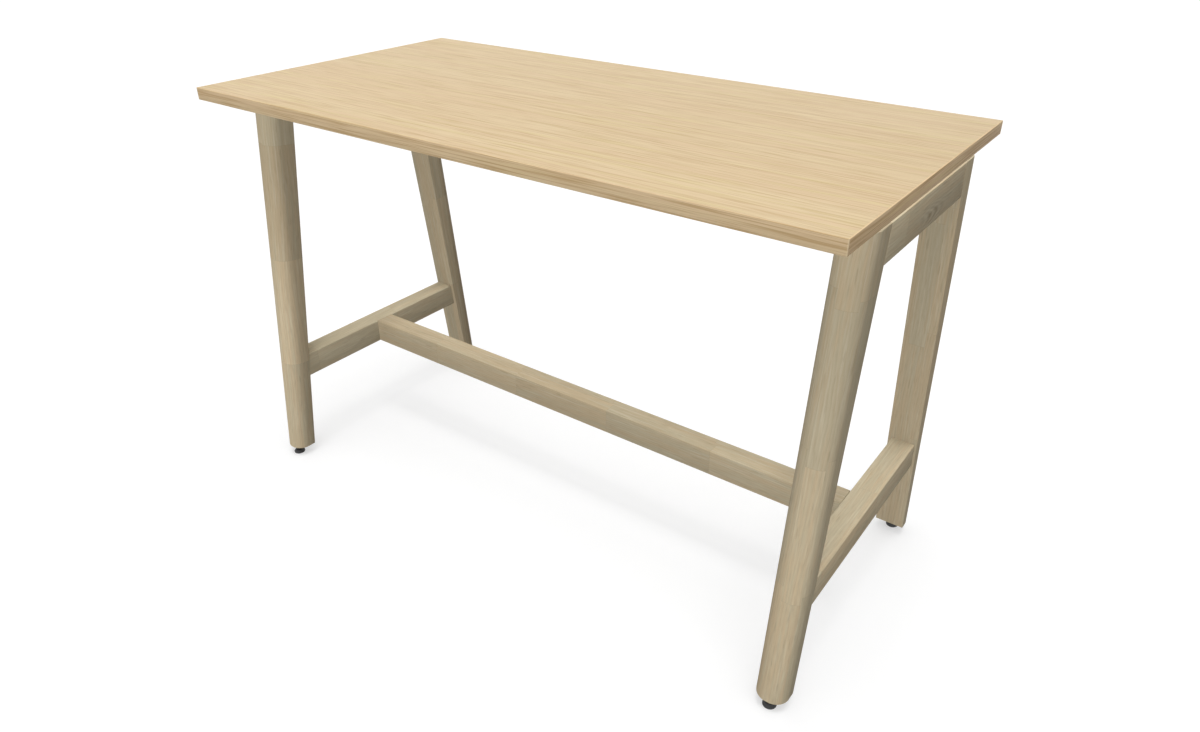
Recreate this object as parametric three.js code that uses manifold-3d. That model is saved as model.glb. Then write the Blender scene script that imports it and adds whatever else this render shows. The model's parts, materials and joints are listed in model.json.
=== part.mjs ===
// A standing meeting table: a laminated top on two timber end frames that a low stretcher joins.
// Millimetres, +Z up, with the floor at Z = 0 and the table centred on the Z axis.
// X runs along the table and Y across it: the front is -Y and the right end is +X.
import * as THREE from 'three';
import { mergeVertices } from 'three/addons/utils/BufferGeometryUtils.js';
import Module from 'manifold-3d';

// The top: a faced board with an edge band on each side
const TABLE_HEIGHT = 1045;
const TOP_LENGTH = 1600;
const TOP_DEPTH = 800;
const TOP_THICKNESS = 28;
const BAND_THICKNESS = 2;
const BAND_ROUND = 1.5;

// The end frames: two splayed, tapered legs, an apron under the top and a lower rail
const FRAME_INSET = 5;
const SHADOW_GAP = 10;
const LEG_GROUND_GAP = 25;
const LEG_WIDTH = 70;
const LEG_TOP_DEPTH = 75;
const LEG_FOOT_DEPTH = 52;
const LEG_TOP_SETBACK = 127;
const LEG_FOOT_SETBACK = 29;
const LEG_ROUND = 32;
const APRON_HEIGHT = 72;
const APRON_THICKNESS = 55;
const RAIL_TOP = 300;
const RAIL_HEIGHT = 65;
const RAIL_THICKNESS = 55;
const RAIL_INSET = 5;

// The stretcher stands a little proud of the rails that it runs between
const STRETCHER_WIDTH = 55;
const STRETCHER_HEIGHT = 65;
const STRETCHER_RISE = 2;

// Loose tenons glue the aprons and rails to the legs
const TENON_LENGTH = 60;
const TENON_THICKNESS = 14;
const TENON_SHOULDER = 14;

// A stud, a flanged nut and a dowel hold each end of the stretcher
const STUD_DIAMETER = 8;
const STUD_IN_RAIL = 38;
const STUD_PAST_NUT = 4;
const POCKET_FROM_END = 45;
const POCKET_LENGTH = 40;
const POCKET_WIDTH = 30;
const POCKET_ABOVE_STUD = 14;
const NUT_ACROSS_FLATS = 13;
const NUT_HEIGHT = 8;
const NUT_FLANGE_DIAMETER = 18;
const NUT_FLANGE_THICKNESS = 2;
const DOWEL_DIAMETER = 10;
const DOWEL_LENGTH = 50;
const DOWEL_DROP = 15;

// Each frame carries the top on two spacers, with a screw up through the apron
const SPACER_DIAMETER = 28;
const SPACER_SETBACK = 75;
const TOP_SCREW_DIAMETER = 8;
const TOP_SCREW_HEAD_DIAMETER = 13;
const TOP_SCREW_HEAD_HEIGHT = 8;
const TOP_SCREW_KEY = 6;
const TOP_SCREW_KEY_DEPTH = 4;
const TOP_SCREW_WOOD = 32;
const TOP_SCREW_IN_TOP = 14;
const COUNTERBORE_DIAMETER = 18;
const TOP_INSERT_DIAMETER = 12;
const TOP_INSERT_LENGTH = 16;

// Two steel angles keep the top from sagging between the frames
const STIFFENER_FLANGE = 40;
const STIFFENER_WEB = 25;
const STIFFENER_THICKNESS = 3;
const STIFFENER_SPACING = 300;
const STIFFENER_END_GAP = 40;
const STIFFENER_SCREW_DIAMETER = 4;
const STIFFENER_SCREW_HEAD_DIAMETER = 9;
const STIFFENER_SCREW_HEAD_HEIGHT = 3;
const STIFFENER_SCREW_IN_TOP = 15;
const STIFFENER_SCREW_POINT = 3;
const STIFFENER_SCREW_MARGIN = 60;
const STIFFENER_SCREW_PLACES = [['left', -1], ['middle', 0], ['right', 1]];

// Levelling feet: a glide that stands on the floor and a screw that turns in it and in the leg
const GLIDE_DIAMETER = 30;
const GLIDE_RIM = 5;
const GLIDE_HEIGHT = 9;
const GLIDE_NECK_DIAMETER = 20;
const GLIDE_CHAMFER = 1;
const GLIDE_SOLE = 3;
const FOOT_PIN_DIAMETER = 8;
const FOOT_HEX_ACROSS_FLATS = 13;
const FOOT_HEX_HEIGHT = 5;
const FOOT_SCREW_DIAMETER = 10;
const FOOT_SCREW_IN_LEG = 22;
const FOOT_SCREW_CHAMFER = 1;
const FOOT_SCREW_HEADROOM = 14;
const FOOT_SETBACK = 20;
const LEG_INSERT_DIAMETER = 16;
const LEG_INSERT_LENGTH = 25;

// Fits: the play of glued and driven pieces, of turning pieces, and at the end of a blind hole
const GLUE_GAP = 0.3;
const RUNNING_GAP = 0.05;
const BLIND_GAP = 1;

// How finely round shapes are divided, and how far a cutting shape reaches past what it cuts
const ROUND_STEPS = 16;
const ARC_STEPS = 4;
const HEX_SIDES = 6;
const REACH = 40;

// Heights
const topUnder = TABLE_HEIGHT - TOP_THICKNESS;
const frameTop = topUnder - SHADOW_GAP;
const apronUnder = frameTop - APRON_HEIGHT;
const railUnder = RAIL_TOP - RAIL_HEIGHT;
const stretcherTop = RAIL_TOP + STRETCHER_RISE;
const stretcherUnder = stretcherTop - STRETCHER_HEIGHT;
const studHeight = stretcherUnder + STRETCHER_HEIGHT / 2;
const screwSeat = frameTop - TOP_SCREW_WOOD;

// Places along the table, from its middle
const frameOuter = TOP_LENGTH / 2 - FRAME_INSET;
const legMiddle = frameOuter - LEG_WIDTH / 2;
const apronInner = frameOuter - APRON_THICKNESS;
const apronMiddle = frameOuter - APRON_THICKNESS / 2;
const railOuter = frameOuter - RAIL_INSET;
const railInner = railOuter - RAIL_THICKNESS;
const railMiddle = railOuter - RAIL_THICKNESS / 2;
const pocketWall = railInner - POCKET_FROM_END;
const stiffenerEnd = apronInner - STIFFENER_END_GAP;

// Places across the table, from its middle
const legOuterTop = TOP_DEPTH / 2 - LEG_TOP_SETBACK;
const legOuterFoot = TOP_DEPTH / 2 - LEG_FOOT_SETBACK;
const legInnerTop = legOuterTop - LEG_TOP_DEPTH;
const legInnerFoot = legOuterFoot - LEG_FOOT_DEPTH;
const footPlace = legOuterFoot - FOOT_SETBACK;
const spacerPlace = legInnerTop - SPACER_SETBACK;
const legRound = Math.min(LEG_ROUND, LEG_WIDTH / 2 - GLUE_GAP, LEG_FOOT_DEPTH - GLUE_GAP);

const ENDS = [['left', -1], ['right', 1]];
const FACES = [['front', -1], ['back', 1]];

const wasm = await Module();
wasm.setup();

const finish = (color, roughness, metalness) => (
  new THREE.MeshStandardMaterial({ color, roughness, metalness }));
const LAMINATE = finish(0xe2cda6, 0.45, 0);
const BAND = finish(0xc6ae86, 0.5, 0);
const TIMBER = finish(0xb6a57f, 0.6, 0);
const BEECH = finish(0xcfa876, 0.7, 0);
const STEEL = finish(0xb4b4b0, 0.35, 1);
const BLACK_STEEL = finish(0x222222, 0.45, 0.6);
const BLACK_PLASTIC = finish(0x2b2b2b, 0.55, 0);

const table = new THREE.Group();

function addPiece(name, geometry, material) {
  const mesh = new THREE.Mesh(geometry, material);
  mesh.name = name;
  table.add(mesh);
}

// The inner face's distance from the table's middle line at a height on the leg.
function legInner(height) {
  return THREE.MathUtils.mapLinear(height, LEG_GROUND_GAP, frameTop, legInnerFoot, legInnerTop);
}

// A closed solid for joining and cutting, and the geometry that comes back from it.
function toSolid(geometry) {
  const bare = geometry.clone();
  bare.deleteAttribute('normal');
  bare.deleteAttribute('uv');
  const welded = mergeVertices(bare);
  const vertProperties = new Float32Array(welded.attributes.position.array);
  const triVerts = new Uint32Array(welded.index.array);
  return new wasm.Manifold(new wasm.Mesh({ numProp: 3, vertProperties, triVerts }));
}

function toGeometry(solid) {
  const { vertProperties, triVerts } = solid.getMesh();
  const geometry = new THREE.BufferGeometry();
  geometry.setAttribute('position', new THREE.BufferAttribute(vertProperties, 3));
  geometry.setIndex(new THREE.BufferAttribute(triVerts, 1));
  geometry.computeVertexNormals();
  return geometry;
}

function cut(geometry, tools) {
  return toGeometry(tools.reduce((solid, tool) => solid.subtract(toSolid(tool)), toSolid(geometry)));
}

function join(first, second) {
  return toGeometry(toSolid(first).add(toSolid(second)));
}

function block(xLow, xHigh, yLow, yHigh, zLow, zHigh) {
  const box = new THREE.BoxGeometry(xHigh - xLow, yHigh - yLow, zHigh - zLow);
  return box.translate((xLow + xHigh) / 2, (yLow + yHigh) / 2, (zLow + zHigh) / 2);
}

// A rectangle with both corners on its outer side rounded.
function roundedOnOneSide(inner, outer, low, high, radius) {
  const backwards = outer < inner;
  const centre = backwards ? outer + radius : outer - radius;
  const outward = backwards ? Math.PI : 0;
  const shape = new THREE.Shape();
  shape.moveTo(inner, low);
  shape.lineTo(centre, low);
  shape.absarc(centre, low + radius, radius, -Math.PI / 2, backwards ? -Math.PI : 0, backwards);
  shape.absarc(centre, high - radius, radius, outward, Math.PI / 2, backwards);
  shape.lineTo(inner, high);
  shape.closePath();
  return shape;
}

// An upright slot with full-round ends, for tenons and their mortises.
function slotShape(x, z, width, height) {
  const radius = width / 2;
  const reach = height / 2 - radius;
  const shape = new THREE.Shape();
  shape.absarc(x, z + reach, radius, 0, Math.PI, false);
  shape.absarc(x, z - reach, radius, Math.PI, Math.PI * 2, false);
  shape.closePath();
  return shape;
}

function extrude(shape, depth) {
  return new THREE.ExtrudeGeometry(shape, { depth, bevelEnabled: false, curveSegments: ARC_STEPS });
}

// A (Y, Z) outline carried along X, and an (X, Z) outline carried along Y.
function alongX(shape, xLow, xHigh) {
  const turn = new THREE.Matrix4().makeBasis(
    new THREE.Vector3(0, 1, 0), new THREE.Vector3(0, 0, 1), new THREE.Vector3(1, 0, 0));
  return extrude(shape, xHigh - xLow).applyMatrix4(turn.setPosition(xLow, 0, 0));
}

function alongY(shape, yLow, yHigh) {
  const turn = new THREE.Matrix4().makeBasis(
    new THREE.Vector3(1, 0, 0), new THREE.Vector3(0, 0, 1), new THREE.Vector3(0, -1, 0));
  return extrude(shape, yHigh - yLow).applyMatrix4(turn.setPosition(0, yHigh, 0));
}

// Turned about Z from [radius, height] pairs; a ring's profile closes on itself.
function turned(profile) {
  const points = profile.map(([radius, height]) => new THREE.Vector2(radius, height));
  return new THREE.LatheGeometry(points, ROUND_STEPS).rotateX(Math.PI / 2);
}

function ring(boreRadius, outerRadius, zLow, zHigh) {
  return turned([[boreRadius, zLow], [outerRadius, zLow], [outerRadius, zHigh], [boreRadius, zHigh],
    [boreRadius, zLow]]);
}

function rod(radius, zLow, zHigh) {
  return turned([[0, zLow], [radius, zLow], [radius, zHigh], [0, zHigh]]);
}

function hexagon(acrossFlats, zLow, zHigh) {
  const radius = acrossFlats / 2 / Math.cos(Math.PI / HEX_SIDES);
  const prism = new THREE.CylinderGeometry(radius, radius, zHigh - zLow, HEX_SIDES);
  return prism.rotateX(Math.PI / 2).translate(0, 0, (zLow + zHigh) / 2);
}

// A faceted bore whose flats clear a shaft that turns in it.
function runningBore(diameter) {
  return (diameter / 2 + RUNNING_GAP) / Math.cos(Math.PI / ROUND_STEPS);
}

// Lays a shape made up the Z axis along X, towards the named end.
function laidAlongX(geometry, end, x, z) {
  return geometry.rotateY(end * Math.PI / 2).translate(end * x, 0, z);
}

// A tenon is centred on the leg's inner face; its mortise is larger all round.
function tenonAt(x, zLow, zHigh, face, play, endPlay) {
  const middle = (zLow + zHigh) / 2;
  const height = zHigh - zLow - 2 * TENON_SHOULDER;
  const shape = slotShape(x, middle, TENON_THICKNESS + 2 * play, height + 2 * play);
  const seam = face * legInner(middle);
  const half = TENON_LENGTH / 2 + endPlay;
  return alongY(shape, seam - half, seam + half);
}

function apronTenon(end, face, play = 0, endPlay = 0) {
  return tenonAt(end * apronMiddle, apronUnder, frameTop, face, play, endPlay);
}

function railTenon(end, face, play = 0, endPlay = 0) {
  return tenonAt(end * railMiddle, railUnder, RAIL_TOP, face, play, endPlay);
}

// The top

function stiffenerScrewPlaces() {
  const reach = stiffenerEnd - STIFFENER_SCREW_MARGIN;
  return STIFFENER_SCREW_PLACES.map(([place, along]) => [place, along * reach]);
}

const stiffenerPlace = (face) => face * STIFFENER_SPACING / 2;

function makeTop() {
  const half = { x: TOP_LENGTH / 2 - BAND_THICKNESS, y: TOP_DEPTH / 2 - BAND_THICKNESS };
  const board = block(-half.x, half.x, -half.y, half.y, topUnder, TABLE_HEIGHT);
  const holes = [];
  for (const [, face] of FACES) {
    for (const [, end] of ENDS) {
      const hole = rod(TOP_INSERT_DIAMETER / 2 + GLUE_GAP, -REACH, TOP_INSERT_LENGTH + BLIND_GAP);
      holes.push(hole.translate(end * apronMiddle, face * spacerPlace, topUnder));
    }
    for (const [, x] of stiffenerScrewPlaces()) {
      const pilot = rod(STIFFENER_SCREW_DIAMETER / 2 + GLUE_GAP, -REACH, STIFFENER_SCREW_IN_TOP + BLIND_GAP);
      holes.push(pilot.translate(x, stiffenerPlace(face), topUnder));
    }
  }
  addPiece('top_panel', cut(board, holes), LAMINATE);
}

function makeBands() {
  const inner = { x: TOP_LENGTH / 2 - BAND_THICKNESS, y: TOP_DEPTH / 2 - BAND_THICKNESS };
  const round = Math.min(BAND_ROUND, BAND_THICKNESS, TOP_THICKNESS / 2 - GLUE_GAP);
  for (const [name, face] of FACES) {
    const section = roundedOnOneSide(face * inner.y, face * TOP_DEPTH / 2, topUnder, TABLE_HEIGHT, round);
    addPiece(`edge_band_${name}`, alongX(section, -TOP_LENGTH / 2, TOP_LENGTH / 2), BAND);
  }
  for (const [name, end] of ENDS) {
    const section = roundedOnOneSide(end * inner.x, end * TOP_LENGTH / 2, topUnder, TABLE_HEIGHT, round);
    addPiece(`edge_band_${name}`, alongY(section, -inner.y, inner.y), BAND);
  }
}

// The end frames

// The leg's side view, wide enough that only its inner, top and bottom faces cut the blank.
function legProfile(end, face) {
  const outline = new THREE.Shape([
    new THREE.Vector2(face * legInnerFoot, LEG_GROUND_GAP),
    new THREE.Vector2(face * (legOuterFoot + REACH), LEG_GROUND_GAP),
    new THREE.Vector2(face * (legOuterTop + REACH), frameTop),
    new THREE.Vector2(face * legInnerTop, frameTop),
  ]);
  const half = LEG_WIDTH / 2 + REACH;
  return alongX(outline, end * legMiddle - half, end * legMiddle + half);
}

// A long bar with its two outer arrises rounded, leaning as the leg's outer face leans.
function legBar(end, face) {
  const foot = new THREE.Vector3(end * legMiddle, face * legOuterFoot, LEG_GROUND_GAP);
  const head = new THREE.Vector3(end * legMiddle, face * legOuterTop, frameTop);
  const length = head.distanceTo(foot);
  const up = head.sub(foot).normalize();
  const across = new THREE.Vector3(-face, 0, 0);
  const out = across.clone().cross(up);
  const depth = Math.max(LEG_TOP_DEPTH, LEG_FOOT_DEPTH) + REACH;
  const section = roundedOnOneSide(-depth, 0, -LEG_WIDTH / 2, LEG_WIDTH / 2, legRound);
  const lean = new THREE.Matrix4().makeBasis(out, across, up).setPosition(foot.addScaledVector(up, -REACH));
  return extrude(section, length + 2 * REACH).applyMatrix4(lean);
}

function footBores(end, face) {
  const seat = rod(LEG_INSERT_DIAMETER / 2 + GLUE_GAP, -REACH, LEG_INSERT_LENGTH + GLUE_GAP);
  const room = rod(FOOT_SCREW_DIAMETER / 2 + BLIND_GAP, 0, FOOT_SCREW_IN_LEG + FOOT_SCREW_HEADROOM);
  return [seat, room].map((bore) => bore.translate(end * legMiddle, face * footPlace, LEG_GROUND_GAP));
}

function makeLeg(end, face, name) {
  const blank = toGeometry(toSolid(legBar(end, face)).intersect(toSolid(legProfile(end, face))));
  const mortises = [
    apronTenon(end, face, GLUE_GAP, BLIND_GAP),
    railTenon(end, face, GLUE_GAP, BLIND_GAP),
  ];
  addPiece(name, cut(blank, [...mortises, ...footBores(end, face)]), TIMBER);
}

// A member between the legs, whose ends follow the slope of their inner faces.
function crossMember(end, inner, outer, zLow, zHigh) {
  const low = legInner(zLow) - GLUE_GAP;
  const high = legInner(zHigh) - GLUE_GAP;
  const outline = new THREE.Shape([
    new THREE.Vector2(-low, zLow),
    new THREE.Vector2(low, zLow),
    new THREE.Vector2(high, zHigh),
    new THREE.Vector2(-high, zHigh),
  ]);
  return alongX(outline, Math.min(end * inner, end * outer), Math.max(end * inner, end * outer));
}

function makeApron(end, name) {
  const cuts = [];
  for (const [, face] of FACES) {
    const shank = rod(TOP_SCREW_DIAMETER / 2 + GLUE_GAP, apronUnder, frameTop + REACH);
    const counterbore = rod(COUNTERBORE_DIAMETER / 2, apronUnder - REACH, screwSeat);
    cuts.push(shank.translate(end * apronMiddle, face * spacerPlace, 0));
    cuts.push(counterbore.translate(end * apronMiddle, face * spacerPlace, 0));
    cuts.push(apronTenon(end, face, GLUE_GAP, BLIND_GAP));
  }
  addPiece(name, cut(crossMember(end, apronInner, frameOuter, apronUnder, frameTop), cuts), TIMBER);
}

function makeRail(end, name) {
  const cuts = FACES.map(([, face]) => railTenon(end, face, GLUE_GAP, BLIND_GAP));
  const studHole = rod(STUD_DIAMETER / 2 + GLUE_GAP, -REACH, STUD_IN_RAIL + BLIND_GAP);
  cuts.push(laidAlongX(studHole, end, railInner, studHeight));
  cuts.push(dowelHole(end));
  addPiece(name, cut(crossMember(end, railInner, railOuter, railUnder, RAIL_TOP), cuts), TIMBER);
}

function makeTenons(end, face, place) {
  addPiece(`apron_tenon_${place}`, apronTenon(end, face), BEECH);
  addPiece(`rail_tenon_${place}`, railTenon(end, face), BEECH);
}

// The stretcher and what holds it

function dowelHole(end) {
  const half = DOWEL_LENGTH / 2 + BLIND_GAP;
  return laidAlongX(rod(DOWEL_DIAMETER / 2 + GLUE_GAP, -half, half), end, railInner, RAIL_TOP - DOWEL_DROP);
}

function makeStretcher() {
  const half = STRETCHER_WIDTH / 2;
  const bar = block(-railInner, railInner, -half, half, stretcherUnder, stretcherTop);
  const cuts = [];
  for (const [, end] of ENDS) {
    const far = pocketWall - POCKET_LENGTH;
    const pocketTop = studHeight + POCKET_ABOVE_STUD;
    cuts.push(block(Math.min(end * far, end * pocketWall), Math.max(end * far, end * pocketWall),
      -POCKET_WIDTH / 2, POCKET_WIDTH / 2, stretcherUnder - REACH, pocketTop));
    const bore = rod(STUD_DIAMETER / 2 + GLUE_GAP, -POCKET_FROM_END - BLIND_GAP, REACH);
    cuts.push(laidAlongX(bore, end, railInner, studHeight));
    cuts.push(dowelHole(end));
  }
  addPiece('stretcher', cut(bar, cuts), TIMBER);
}

function makeStretcherFixing(end, name) {
  const nutDepth = NUT_FLANGE_THICKNESS + NUT_HEIGHT;
  const inner = -POCKET_FROM_END - GLUE_GAP - nutDepth - STUD_PAST_NUT;
  addPiece(`stretcher_stud_${name}`,
    laidAlongX(rod(STUD_DIAMETER / 2, inner, STUD_IN_RAIL), end, railInner, studHeight), STEEL);
  const hex = hexagon(NUT_ACROSS_FLATS, -nutDepth, -NUT_FLANGE_THICKNESS / 2);
  const flange = rod(NUT_FLANGE_DIAMETER / 2, -NUT_FLANGE_THICKNESS, 0);
  const bored = cut(join(hex, flange), [rod(STUD_DIAMETER / 2 + GLUE_GAP, -REACH, REACH)]);
  addPiece(`stretcher_nut_${name}`, laidAlongX(bored, end, pocketWall - GLUE_GAP, studHeight), STEEL);
  const half = DOWEL_LENGTH / 2;
  addPiece(`stretcher_dowel_${name}`,
    laidAlongX(rod(DOWEL_DIAMETER / 2, -half, half), end, railInner, RAIL_TOP - DOWEL_DROP), BEECH);
}

// What holds the top to the frames

function makeTopFixing(end, face, place) {
  const at = (geometry) => geometry.translate(end * apronMiddle, face * spacerPlace, 0);
  const shank = TOP_SCREW_DIAMETER / 2;
  addPiece(`top_spacer_${place}`, at(ring(shank + GLUE_GAP, SPACER_DIAMETER / 2, frameTop, topUnder)),
    BLACK_PLASTIC);
  addPiece(`top_insert_${place}`,
    at(ring(shank + GLUE_GAP, TOP_INSERT_DIAMETER / 2, topUnder, topUnder + TOP_INSERT_LENGTH)), STEEL);
  const head = TOP_SCREW_HEAD_DIAMETER / 2;
  const low = screwSeat - TOP_SCREW_HEAD_HEIGHT;
  const tip = topUnder + TOP_SCREW_IN_TOP;
  const screw = turned([[0, low], [head, low], [head, screwSeat], [shank, screwSeat],
    [shank, tip], [0, tip]]);
  const key = hexagon(TOP_SCREW_KEY, low - REACH, low + TOP_SCREW_KEY_DEPTH);
  addPiece(`top_screw_${place}`, at(cut(screw, [key])), BLACK_STEEL);
}

// What stiffens the top

function makeStiffener(face, name) {
  const middle = stiffenerPlace(face);
  const edge = middle - STIFFENER_FLANGE / 2;
  const flangeUnder = topUnder - STIFFENER_THICKNESS;
  const outline = new THREE.Shape([
    new THREE.Vector2(edge, topUnder),
    new THREE.Vector2(edge, topUnder - STIFFENER_WEB),
    new THREE.Vector2(edge + STIFFENER_THICKNESS, topUnder - STIFFENER_WEB),
    new THREE.Vector2(edge + STIFFENER_THICKNESS, flangeUnder),
    new THREE.Vector2(edge + STIFFENER_FLANGE, flangeUnder),
    new THREE.Vector2(edge + STIFFENER_FLANGE, topUnder),
  ]);
  const holes = stiffenerScrewPlaces().map(([, x]) => (
    rod(STIFFENER_SCREW_DIAMETER / 2 + GLUE_GAP, -REACH, REACH).translate(x, middle, topUnder)));
  addPiece(`stiffener_${name}`, cut(alongX(outline, -stiffenerEnd, stiffenerEnd), holes), BLACK_STEEL);

  const shank = STIFFENER_SCREW_DIAMETER / 2;
  const head = STIFFENER_SCREW_HEAD_DIAMETER / 2;
  const tip = topUnder + STIFFENER_SCREW_IN_TOP;
  for (const [place, x] of stiffenerScrewPlaces()) {
    const screw = turned([[0, flangeUnder - STIFFENER_SCREW_HEAD_HEIGHT],
      [head, flangeUnder - STIFFENER_SCREW_HEAD_HEIGHT], [head, flangeUnder], [shank, flangeUnder],
      [shank, tip - STIFFENER_SCREW_POINT], [0, tip]]);
    addPiece(`stiffener_screw_${name}_${place}`, screw.translate(x, middle, 0), STEEL);
  }
}

// The levelling feet

function makeFoot(end, face, place) {
  const at = (geometry) => geometry.translate(end * legMiddle, face * footPlace, 0);
  const rim = GLIDE_DIAMETER / 2;
  const socket = runningBore(FOOT_PIN_DIAMETER);
  addPiece(`glide_${place}`, at(turned([[0, 0], [rim - GLIDE_CHAMFER, 0], [rim, GLIDE_CHAMFER],
    [rim, GLIDE_RIM], [GLIDE_NECK_DIAMETER / 2, GLIDE_HEIGHT], [socket, GLIDE_HEIGHT], [socket, GLIDE_SOLE],
    [0, GLIDE_SOLE]])), BLACK_PLASTIC);

  const pin = FOOT_PIN_DIAMETER / 2;
  const thread = FOOT_SCREW_DIAMETER / 2;
  const hexLow = GLIDE_HEIGHT + RUNNING_GAP;
  const hexTop = hexLow + FOOT_HEX_HEIGHT;
  const tip = LEG_GROUND_GAP + FOOT_SCREW_IN_LEG;
  const pinLow = GLIDE_SOLE + RUNNING_GAP;
  const screw = turned([[0, pinLow], [pin, pinLow], [pin, hexLow], [thread, hexLow],
    [thread, tip - FOOT_SCREW_CHAMFER], [thread - FOOT_SCREW_CHAMFER, tip], [0, tip]]);
  addPiece(`foot_screw_${place}`, at(join(screw, hexagon(FOOT_HEX_ACROSS_FLATS, hexLow, hexTop))),
    BLACK_STEEL);
  addPiece(`leg_insert_${place}`, at(ring(runningBore(FOOT_SCREW_DIAMETER), LEG_INSERT_DIAMETER / 2,
    LEG_GROUND_GAP, LEG_GROUND_GAP + LEG_INSERT_LENGTH)), STEEL);
}

makeTop();
makeBands();
for (const [endName, end] of ENDS) {
  makeApron(end, `apron_${endName}`);
  makeRail(end, `lower_rail_${endName}`);
  makeStretcherFixing(end, endName);
  for (const [faceName, face] of FACES) {
    const place = `${faceName}_${endName}`;
    makeLeg(end, face, `leg_${place}`);
    makeTenons(end, face, place);
    makeTopFixing(end, face, place);
    makeFoot(end, face, place);
  }
}
makeStretcher();
for (const [faceName, face] of FACES) {
  makeStiffener(face, faceName);
}

export default table;
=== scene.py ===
# %% [markdown]
# A standing meeting table, finished for a close look. The construction already exists as solids at their
# real size. This lesson remodels the pieces that show, with the small rounds and threads that a plain
# solid lacks, and gives every piece a procedural finish: a printed oak board, jointed timber, moulded
# plastic and metal.

# %% Load the solids that everything is placed by
import json
import math

import bmesh
import bpy
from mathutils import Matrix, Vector


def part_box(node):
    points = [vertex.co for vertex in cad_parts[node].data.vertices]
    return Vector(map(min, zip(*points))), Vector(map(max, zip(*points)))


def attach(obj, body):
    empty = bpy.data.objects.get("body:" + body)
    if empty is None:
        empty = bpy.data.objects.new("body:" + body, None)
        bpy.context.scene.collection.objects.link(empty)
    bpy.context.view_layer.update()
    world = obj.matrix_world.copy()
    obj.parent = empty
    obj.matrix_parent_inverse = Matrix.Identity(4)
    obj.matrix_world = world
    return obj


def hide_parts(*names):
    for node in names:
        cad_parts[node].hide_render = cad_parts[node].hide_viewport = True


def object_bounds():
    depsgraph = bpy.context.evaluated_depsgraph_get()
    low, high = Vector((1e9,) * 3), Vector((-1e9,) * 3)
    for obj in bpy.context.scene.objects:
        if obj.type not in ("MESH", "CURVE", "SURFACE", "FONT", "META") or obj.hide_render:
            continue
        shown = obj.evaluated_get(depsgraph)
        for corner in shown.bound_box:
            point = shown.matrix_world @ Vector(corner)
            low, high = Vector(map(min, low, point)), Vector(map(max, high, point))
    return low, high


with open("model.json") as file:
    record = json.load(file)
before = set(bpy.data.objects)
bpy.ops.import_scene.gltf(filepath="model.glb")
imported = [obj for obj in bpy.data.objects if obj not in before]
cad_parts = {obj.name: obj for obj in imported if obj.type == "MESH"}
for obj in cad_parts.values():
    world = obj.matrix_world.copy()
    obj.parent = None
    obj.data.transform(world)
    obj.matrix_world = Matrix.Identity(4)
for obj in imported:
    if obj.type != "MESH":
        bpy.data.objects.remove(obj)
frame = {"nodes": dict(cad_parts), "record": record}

cad_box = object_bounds()

ENDS = ("left", "right")
FACES = ("front", "back")
PLACES = [f"{face}_{end}" for end in ENDS for face in FACES]
MM = 0.001

# %% [markdown]
# The camera stands where the photographer's stood. Its place and lens were worked out from the straight
# edges of the table, so the picture's perspective is the real one and nothing has to be nudged by eye.

# %% Camera
CAMERA_PLACE = Vector((1.2074, -1.5567, 1.5154))
CAMERA_LOOKS_AT = Vector((0.1691, -0.1323, 0.5))
CAMERA_LENS_MM = 26.65
CAMERA_SENSOR_MM = 36.0

camera_data = bpy.data.cameras.new("camera")
camera_data.lens = CAMERA_LENS_MM
camera_data.sensor_width = CAMERA_SENSOR_MM
camera_data.sensor_fit = "HORIZONTAL"
camera = bpy.data.objects.new("camera", camera_data)
bpy.context.collection.objects.link(camera)
camera.location = CAMERA_PLACE
camera.rotation_euler = (CAMERA_LOOKS_AT - CAMERA_PLACE).to_track_quat("-Z", "Y").to_euler()
bpy.context.scene.camera = camera
print("camera", round((CAMERA_LOOKS_AT - CAMERA_PLACE).length, 3), "m from what it looks at")

# %% [markdown]
# Modelling by hand in Blender is a matter of selecting and then acting. Every piece starts from a block
# or a drum of the right size. The selection is cleared first, because an operator acts on all that is
# selected, and loading leaves the solids selected.

# %% Starting a piece
def start_block(name, low, high):
    """A block between two corners, left selected and active."""
    bpy.ops.object.select_all(action="DESELECT")
    centre = [(a + b) / 2 for a, b in zip(low, high)]
    size = [b - a for a, b in zip(low, high)]
    bpy.ops.mesh.primitive_cube_add(size=1, location=centre, scale=size)
    piece = bpy.context.object
    piece.name = name
    bpy.ops.object.transform_apply(location=True, rotation=True, scale=True)
    return piece


def start_drum(name, place, radius, low, high, sides):
    """An upright drum standing from one height to another, left selected and active."""
    bpy.ops.object.select_all(action="DESELECT")
    bpy.ops.mesh.primitive_cylinder_add(
        vertices=sides, radius=radius, depth=high - low, location=(place[0], place[1], (low + high) / 2))
    piece = bpy.context.object
    piece.name = name
    bpy.ops.object.transform_apply(location=True, rotation=True, scale=True)
    return piece


# %% [markdown]
# Vertices, edges and faces are picked in code, by where they are or which way they face. A hole is
# drilled as in a workshop, by taking a drum away from the piece, and a fine bevel finishes a piece,
# because no real edge is perfectly sharp.

# %% Picking and shaping
SELECT_MODES = {"verts": "VERT", "edges": "EDGE", "faces": "FACE"}
ARRIS_SEGMENTS = 3
SMALL_ARRIS_SEGMENTS = 2
BORE_SIDES = 48
SMOOTH_ANGLE = math.radians(40)
SHARP_ANGLE = math.radians(30)


def pick(piece, parts, test):
    """In edit mode, selects just the vertices, edges or faces that pass a test."""
    bpy.ops.mesh.select_mode(type=SELECT_MODES[parts])
    bpy.ops.mesh.select_all(action="DESELECT")
    mesh = bmesh.from_edit_mesh(piece.data)
    for part in getattr(mesh, parts):
        if test(part):
            part.select_set(True)
    bmesh.update_edit_mesh(piece.data)


def shift(piece, test, move):
    """Moves the vertices that pass a test."""
    pick(piece, "verts", test)
    bpy.ops.transform.translate(value=move)


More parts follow.
